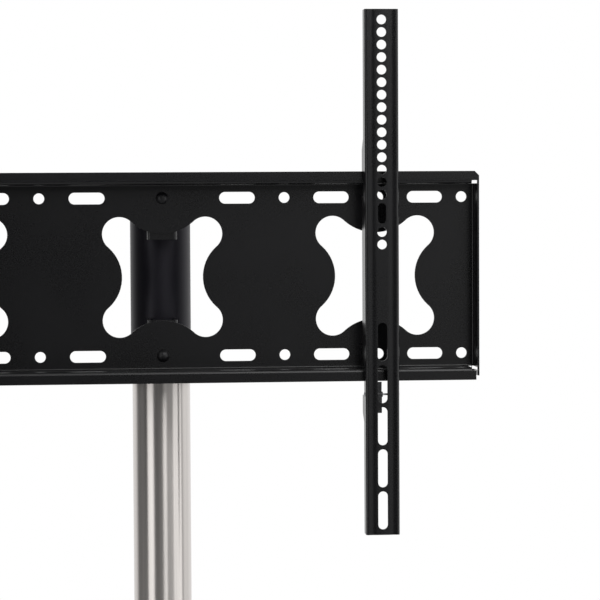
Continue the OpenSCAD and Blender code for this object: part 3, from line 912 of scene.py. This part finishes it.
def root_cover():
    """The spun cover: a shallow dome with a curled rim, drawn up into a neck round the column."""
    node = "root_cover"
    low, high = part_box(node)
    rim, wall, neck = high.x, 1.2 * MM, 1.5 * MM
    rise = 28.0 * MM
    dome = (rim**2 + rise**2) / (2 * rise)
    middle = low.z + rise - dome
    inner = 30.3 * MM
    throat = inner + wall

    def height(radius, depth=0.0):
        return middle + math.sqrt((dome - depth) ** 2 - radius**2)

    reach = [rim - 2.6 * MM - i * (rim - throat - neck - 2.6 * MM) / 20 for i in range(21)]
    outline = [
        (inner, height(throat, wall) + 0.1 * MM),
        (inner, high.z - 0.4 * MM),
        (inner + 0.4 * MM, high.z),
        (throat - 0.4 * MM, high.z),
        (throat, high.z - 0.4 * MM),
        (throat, height(throat) + neck),
        (throat + 0.35 * MM, height(throat) + 0.55 * neck),
        (throat + 0.9 * MM, height(throat + 0.9 * MM) + 0.25 * neck),
        *[(radius, height(radius)) for radius in reversed(reach)],
        (rim - 1.2 * MM, height(rim - 1.2 * MM) + 0.25 * MM),
        (rim - 0.35 * MM, low.z + 1.15 * MM),
        (rim, low.z + 0.6 * MM),
        (rim - 0.15 * MM, low.z + 0.1 * MM),
        (rim - 1.6 * MM, low.z + 0.05 * MM),
        *[(radius - wall, height(radius - wall, wall)) for radius in reach],
    ]
    bm = turned(outline, sizes().round_steps, closed=True)
    show("spun_root_cover", bm, brushed_round(), body_of(node), slot_of(node), node)


def arc(across, up, radius, first, last, steps):
    """Points of an arc for an outline, by angle from straight out."""
    turns = [radians(first + (last - first) * i / steps) for i in range(steps + 1)]
    return [(across + radius * math.cos(turn), up + radius * math.sin(turn)) for turn in turns]


def turned(outline, steps, closed=False):
    """Turns an outline of radius and height round the column's axis."""
    bm = bmesh.new()
    corners = [bm.verts.new((radius, 0.0, height)) for radius, height in outline]
    ends = corners[1:] + corners[:1] if closed else corners[1:]
    edges = [bm.edges.new(pair) for pair in zip(corners, ends)]
    bmesh.ops.spin(
        bm,
        geom=corners + edges,
        cent=(0.0, 0.0, 0.0),
        axis=(0.0, 0.0, 1.0),
        angle=radians(360),
        steps=steps,
        use_merge=True,
    )
    bmesh.ops.remove_doubles(bm, verts=bm.verts, dist=MERGE)
    bmesh.ops.recalc_face_normals(bm, faces=bm.faces)
    return bm


def start_ring(bm, steps, height):
    """A circle of edges round the axis, for draw_rings."""
    ring = bmesh.ops.create_circle(
        bm, segments=steps, radius=10 * MM, matrix=Matrix.Translation((0.0, 0.0, height))
    )["verts"]
    return list({edge for vert in ring for edge in vert.link_edges})


def draw_rings(bm, loop, steps):
    """Extrudes a loop ring by ring; each step is a height and a radius, or a radius by angle."""
    for height, radius in steps:
        made = bmesh.ops.extrude_edge_only(bm, edges=loop)["geom"]
        corners = {item for item in made if isinstance(item, bmesh.types.BMVert)}
        for corner in corners:
            turn = math.atan2(corner.co.y, corner.co.x)
            reach = radius(turn) if callable(radius) else radius
            corner.co = (reach * math.cos(turn), reach * math.sin(turn), height)
        edges = [item for item in made if isinstance(item, bmesh.types.BMEdge)]
        loop = [edge for edge in edges if corners.issuperset(edge.verts)]
    return loop


def flat_sided(sides, flats, within=1.0):
    """Radius by angle of a bar with flat sides, kept within a circle."""
    step = radians(360 / sides)

    def radius(turn):
        return min(within, flats / 2 / math.cos((turn + step / 2) % step - step / 2))

    return radius


def close(bm, *loops):
    for loop in loops:
        bmesh.ops.contextual_create(bm, geom=loop)
    bmesh.ops.recalc_face_normals(bm, faces=bm.faces)


# The thread of the bolts and of the knobs' studs: radius, pitch and steps in a turn
THREAD_RADIUS = 4.0 * MM
THREAD_PITCH = 1.25 * MM
THREAD_STEPS = 28


def rod_thread(bm, bottom, top):
    """A raised thread round a rod along Z, with its crest at the thread's radius."""
    root = THREAD_RADIUS - 0.62 * THREAD_PITCH
    half = THREAD_PITCH * 0.42
    places = [
        (root, bottom - half),
        (THREAD_RADIUS, bottom - half / 6),
        (THREAD_RADIUS, bottom + half / 6),
        (root, bottom + half),
    ]
    corners = [bm.verts.new((reach, 0.0, height)) for reach, height in places]
    edges = [bm.edges.new(pair) for pair in zip(corners, corners[1:] + corners[:1])]
    turns = round((top - bottom) / THREAD_PITCH * THREAD_STEPS)
    bmesh.ops.contextual_create(bm, geom=edges)
    last = bmesh.ops.spin(
        bm,
        geom=corners + edges,
        cent=(0.0, 0.0, 0.0),
        axis=(0.0, 0.0, 1.0),
        dvec=(0.0, 0.0, THREAD_PITCH / THREAD_STEPS),
        angle=radians(360) * turns / THREAD_STEPS,
        steps=turns,
    )["geom_last"]
    end = [item for item in last if isinstance(item, bmesh.types.BMEdge)]
    bmesh.ops.contextual_create(bm, geom=end)


def point_back(bm, place):
    """Turns a piece made along +Z to point along +Y, and puts it in its place."""
    bmesh.ops.transform(
        bm, matrix=Matrix.Translation(place) @ Matrix.Rotation(radians(-90), 4, "X"), verts=bm.verts
    )


# A weld bead: its radius, the distance between its rings, and how their size ripples
BEAD = 1.5 * MM
BEAD_STEP = 0.8 * MM
RIPPLE = (1.0, 0.93, 0.8)
# A cleat's beads stop this far from the end that shows in the plate's opening, and from the other
BEAD_SHORT = 30 * MM
BEAD_LONG = 4 * MM


def weld_bead(bm, path, closed=False):
    """A rippled weld bead along a path."""
    loops = []
    count = len(path)
    for i, place in enumerate(path):
        after = path[(i + 1) % count] if closed or i + 1 < count else place
        before = path[i - 1] if closed or i else place
        turn = (after - before).to_track_quat("Z", "Y").to_matrix().to_4x4()
        ring = bmesh.ops.create_circle(
            bm,
            segments=10,
            radius=BEAD * RIPPLE[i % len(RIPPLE)],
            matrix=Matrix.Translation(place) @ turn,
        )
        loops.append(list({edge for vert in ring["verts"] for edge in vert.link_edges}))
    for first, second in zip(loops, loops[1:] + (loops[:1] if closed else [])):
        bmesh.ops.bridge_loops(bm, edges=first + second)
    if not closed:
        close(bm, loops[0], loops[-1])
    bmesh.ops.recalc_face_normals(bm, faces=bm.faces)


class SCREENSTAND_OT_head(bpy.types.Operator):
    """Finishes the sleeve, its bosses and cleats"""

    bl_idname = "screen_stand.head"
    bl_label = "Sleeve"

    def execute(self, context):
        dress("sleeve", "lacquered_sleeve", sleeve_lacquer(), sizes().machined_edge)
        dress("clamp_bosses", "coated_clamp_bosses", powder_coat(), sizes().machined_edge)
        dress("upper_cleat", "coated_upper_cleat", powder_coat(), sizes().sheet_edge)
        dress("lower_cleat", "coated_lower_cleat", powder_coat(), sizes().sheet_edge)
        weld_beads()
        return {"FINISHED"}


def weld_beads():
    """Coated weld beads round the bosses and down both sides of the cleats, behind the plate."""
    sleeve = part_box("sleeve")[1].x
    bosses_low, bosses_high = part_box("clamp_bosses")
    boss = bosses_high.x
    bm = bmesh.new()
    for height in (bosses_low.z + boss, bosses_high.z - boss):
        steps = len(RIPPLE) * round(2 * math.pi * boss / BEAD_STEP / len(RIPPLE))
        ring = []
        for i in range(steps):
            turn = radians(360) * i / steps
            x, z = boss * math.cos(turn), boss * math.sin(turn)
            ring.append(Vector((x, math.sqrt(sleeve**2 - x**2), height + z)))
        weld_bead(bm, ring, closed=True)
    ends = (("upper_cleat", BEAD_SHORT, BEAD_LONG), ("lower_cleat", BEAD_LONG, BEAD_SHORT))
    for node, start, stop in ends:
        low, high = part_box(node)
        reach = high.x
        seat = -math.sqrt(sleeve**2 - reach**2)
        count = round((high.z - low.z - start - stop) / BEAD_STEP)
        for side in (-1, 1):
            heights = [low.z + start + i * BEAD_STEP for i in range(count)]
            weld_bead(bm, [Vector((side * reach, seat, height)) for height in heights])
    show("coated_weld_beads", bm, powder_coat(), body_of("sleeve"), slot_of("clamp_bosses"))


class SCREENSTAND_OT_knobs(bpy.types.Operator):
    """Finishes the clamp knobs"""

    bl_idname = "screen_stand.knobs"
    bl_label = "Clamp knobs"

    def execute(self, context):
        for level in ("upper", "lower"):
            clamp_knob(level)
        return {"FINISHED"}


# The clamp knobs: how far above and below the plate's middle they sit, their radius and thickness,
# the number of grips and the steps in each, the hollows between the grips, and the neck
KNOB_LEVEL = 62 * MM
KNOB_RADIUS = 20 * MM
KNOB_HEIGHT = 16 * MM
KNOB_GRIPS = 7
GRIP_STEPS = 22
HOLLOW_RADIUS = 7 * MM
HOLLOW_DEPTH = 3.5 * MM
NECK_RADIUS = 9 * MM
NECK_LENGTH = 8 * MM


def grip_outline(turn):
    """Radius of the star outline by angle."""
    step = radians(360 / KNOB_GRIPS)
    off = (turn + step / 2) % step - step / 2
    reach = KNOB_RADIUS - HOLLOW_DEPTH + HOLLOW_RADIUS
    side = reach * math.sin(off)
    if abs(side) >= HOLLOW_RADIUS:
        return KNOB_RADIUS
    return min(KNOB_RADIUS, reach * math.cos(off) - math.sqrt(HOLLOW_RADIUS**2 - side**2))


def soft_outline(turn):
    """The star outline with its corners rounded off."""
    spread = [radians(offset) for offset in (-9, -6, -3, 0, 3, 6, 9)]
    weights = (1, 4, 8, 10, 8, 4, 1)
    reaches = [grip_outline(turn + offset) for offset in spread]
    return sum(weight * reach for weight, reach in zip(weights, reaches)) / sum(weights)


def drawn_in(amount):
    def radius(turn):
        return soft_outline(turn) - amount

    return radius


def clamp_knob(level):
    """A moulded star knob with a capped face, and its threaded stud."""
    node = f"{level}_clamp_knob"
    low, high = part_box(node)
    offset = KNOB_LEVEL if level == "upper" else -KNOB_LEVEL
    place = Vector((0.0, high.y - KNOB_HEIGHT, plate_middle() + offset))
    soft, core = 3 * MM, 3.25 * MM
    bm = bmesh.new()
    first = start_ring(bm, KNOB_GRIPS * GRIP_STEPS, -NECK_LENGTH)
    under = [(soft - across, soft - up) for across, up in arc(0.0, 0.0, soft, 90, 0, 5)]
    face = KNOB_HEIGHT
    over = [(soft - across, face - soft + up) for across, up in arc(0.0, 0.0, soft, 0, 90, 5)]
    last = draw_rings(
        bm,
        first,
        [
            (-NECK_LENGTH, NECK_RADIUS - 0.6 * MM),
            (-NECK_LENGTH + 0.6 * MM, NECK_RADIUS),
            (-2.6 * MM, NECK_RADIUS),
            (-1.0 * MM, NECK_RADIUS + 0.7 * MM),
            (0.0, NECK_RADIUS + 2.4 * MM),
            *[(up, drawn_in(inset)) for inset, up in under],
            *[(up, drawn_in(inset)) for inset, up in over],
            (face, 12.4 * MM),
            (face - 0.4 * MM, 12.0 * MM),
            (face - 1.3 * MM, 11.9 * MM),
            (face - 1.3 * MM, 11.1 * MM),
            (face - 0.5 * MM, 10.9 * MM),
            (face - 0.15 * MM, 10.3 * MM),
            (face, 7.0 * MM),
        ],
    )
    close(bm, first, last)
    point_back(bm, place)
    show(f"{level}_star_knob", bm, moulded_plastic(), node, slot_of(node), node)

    bm = bmesh.new()
    length = place.y - low.y
    first = start_ring(bm, 40, -length)
    stud = [(-length, 2.6 * MM), (-length + 0.8 * MM, core), (-NECK_LENGTH + 1 * MM, core)]
    last = draw_rings(bm, first, stud)
    close(bm, first, last)
    rod_thread(bm, -length + 1.4 * MM, -NECK_LENGTH + 0.6 * MM)
    bmesh.ops.recalc_face_normals(bm, faces=bm.faces)
    point_back(bm, place)
    show(f"{level}_knob_stud", bm, zinc_plate(), node, "plain_steel", node)


class SCREENSTAND_OT_plate(bpy.types.Operator):
    """Finishes the screen plate and its bolts"""

    bl_idname = "screen_stand.plate"
    bl_label = "Screen plate"

    def execute(self, context):
        dress("screen_plate", "coated_screen_plate", powder_coat(), sizes().sheet_edge)
        plate_bolts()
        plate_nuts()
        return {"FINISHED"}


# How far the rows of holes are above and below the plate's middle
BOLT_ROW = 80 * MM


def plate_middle():
    """The height of the middle of the screen plate."""
    low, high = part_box("screen_plate")
    return (low.z + high.z) / 2


def bolt_places():
    """The middle of the plate at each row of holes."""
    return [Vector((0.0, 0.0, plate_middle() + side * BOLT_ROW)) for side in (-1, 1)]


def plate_bolts():
    """Domed bolts with a square neck, and a thread on what passes the cleat."""
    node = "plate_bolts"
    low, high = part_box(node)
    radius, dome, core, square = (high.x - low.x) / 2, 4.2 * MM, 3.3 * MM, 8 * MM
    face = -(low.y + dome)
    ball = (radius**2 + dome**2) / (2 * dome)
    spread = math.degrees(math.asin((radius - 0.4 * MM) / ball))
    head = [
        (ball * math.cos(radians(turn)), face + dome - ball + ball * math.sin(radians(turn)))
        for turn in [90 - spread * i / 12 for i in range(1, 13)]
    ]
    outline = [
        (0.0, face + dome),
        *head,
        (radius, face + 0.35 * MM),
        (radius, face + 0.1 * MM),
        (radius - 0.3 * MM, face),
        (core, face),
        (core, -high.y + 0.8 * MM),
        (2.7 * MM, -high.y),
        (0.0, -high.y),
    ]
    bm = bmesh.new()
    for place in bolt_places():
        bolt = turned(outline, 72)
        first = start_ring(bolt, 48, face - 0.05 * MM)
        flats = flat_sided(4, square)
        neck = draw_rings(bolt, first, [(face - 0.05 * MM, flats), (face - 2 * MM, flats)])
        close(bolt, first, neck)
        rod_thread(bolt, -high.y + 1.4 * MM, face - 3 * MM)
        bmesh.ops.recalc_face_normals(bolt, faces=bolt.faces)
        forwards = Matrix.Translation(place) @ Matrix.Rotation(radians(90), 4, "X")
        bmesh.ops.transform(bolt, matrix=forwards, verts=bolt.verts)
        join(bm, bolt)
    show("domed_plate_bolts", bm, bolt_coat(), body_of(node), slot_of(node), node)


def plate_nuts():
    """Hexagon nuts with turned corners and a chamfered thread."""
    node = "plate_nuts"
    low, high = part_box(node)
    thick, flats, bore = high.y - low.y, 13 * MM, 4.1 * MM
    inside, full = flat_sided(6, flats, within=flats / 2 + 0.15 * MM), flat_sided(6, flats)
    bm = bmesh.new()
    for place in bolt_places():
        nut = bmesh.new()
        first = start_ring(nut, 96, 0.0)
        rings = [
            (0.0, inside),
            (0.55 * MM, full),
            (thick - 0.55 * MM, full),
            (thick, inside),
            (thick, bore + 0.7 * MM),
            (thick - 0.7 * MM, bore),
            (0.7 * MM, bore),
            (0.0, bore + 0.7 * MM),
        ]
        last = draw_rings(nut, first, rings)
        bmesh.ops.bridge_loops(nut, edges=first + last)
        bmesh.ops.remove_doubles(nut, verts=nut.verts, dist=MERGE)
        bmesh.ops.recalc_face_normals(nut, faces=nut.faces)
        point_back(nut, place + Vector((0.0, low.y, 0.0)))
        join(bm, nut)
    show("plated_nuts", bm, zinc_plate(), body_of(node), slot_of(node), node)


def join(bm, other):
    """Adds another bmesh to this one and frees it."""
    mesh = bpy.data.meshes.new("joined")
    other.to_mesh(mesh)
    other.free()
    bm.from_mesh(mesh)
    bpy.data.meshes.remove(mesh)


class SCREENSTAND_OT_rails(bpy.types.Operator):
    """Finishes both rails with their latches and pins"""

    bl_idname = "screen_stand.rails"
    bl_label = "Rails and latches"

    def execute(self, context):
        for side in ("left", "right"):
            dress(f"{side}_rail", f"coated_{side}_rail", powder_coat(), sizes().sheet_edge)
            dress(f"{side}_latch", f"stamped_{side}_latch", latch_grey(), sizes().small_edge)
            latch_pin(side)
        return {"FINISHED"}


def latch_pin(side):
    """A pin through both flanges, riveted to a dome at each end."""
    node = f"{side}_latch_pin"
    low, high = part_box(node)
    place, half = (low + high) / 2, (high.x - low.x) / 2
    radius, dome, shank = (high.z - low.z) / 2, 1.0 * MM, 1.0 * MM
    profile = [
        (shank, half - dome),
        (radius - 0.1 * MM, half - dome),
        (radius, half - 0.85 * dome),
        (0.94 * radius, half - 0.55 * dome),
        (0.78 * radius, half - 0.25 * dome),
        (0.5 * radius, half - 0.06 * dome),
        (0.0, half),
    ]
    outline = [(across, -along) for across, along in reversed(profile)] + profile
    bm = turned(outline, 48)
    sideways = Matrix.Translation(place) @ Matrix.Rotation(radians(90), 4, "Y")
    bmesh.ops.transform(bm, matrix=sideways, verts=bm.verts)
    show(f"riveted_{side}_pin", bm, zinc_plate(), body_of(node), slot_of(node), node)


class SCREENSTAND_PT_panel(bpy.types.Panel):
    """Lists the steps that build the finished stand"""

    bl_idname = "SCREENSTAND_PT_panel"
    bl_label = "Screen stand"
    bl_space_type = "VIEW_3D"
    bl_region_type = "UI"
    bl_category = "Screen stand"

    def draw(self, context):
        for group in (sizes(), finish(), studio()):
            box = self.layout.box()
            for name in group.__annotations__:
                box.prop(group, name)
        for operator in OPERATORS:
            self.layout.operator(operator.bl_idname)


OPERATORS = (
    SCREENSTAND_OT_stage,
    SCREENSTAND_OT_foot,
    SCREENSTAND_OT_column,
    SCREENSTAND_OT_head,
    SCREENSTAND_OT_knobs,
    SCREENSTAND_OT_plate,
    SCREENSTAND_OT_rails,
)
CLASSES = (StandSizes, StandFinish, Studio, *OPERATORS, SCREENSTAND_PT_panel)


def register():
    for kind in CLASSES:
        bpy.utils.register_class(kind)
    bpy.types.Scene.stand_sizes = bpy.props.PointerProperty(type=StandSizes)
    bpy.types.Scene.stand_finish = bpy.props.PointerProperty(type=StandFinish)
    bpy.types.Scene.stand_studio = bpy.props.PointerProperty(type=Studio)


def unregister():
    del bpy.types.Scene.stand_studio
    del bpy.types.Scene.stand_finish
    del bpy.types.Scene.stand_sizes
    for kind in reversed(CLASSES):
        bpy.utils.unregister_class(kind)


def main():
    register()
    bpy.ops.screen_stand.stage()
    bpy.ops.screen_stand.foot()
    bpy.ops.screen_stand.column()
    bpy.ops.screen_stand.head()
    bpy.ops.screen_stand.knobs()
    bpy.ops.screen_stand.plate()
    bpy.ops.screen_stand.rails()
    bpy.context.view_layer.update()


if __name__ == "__main__":
    main()
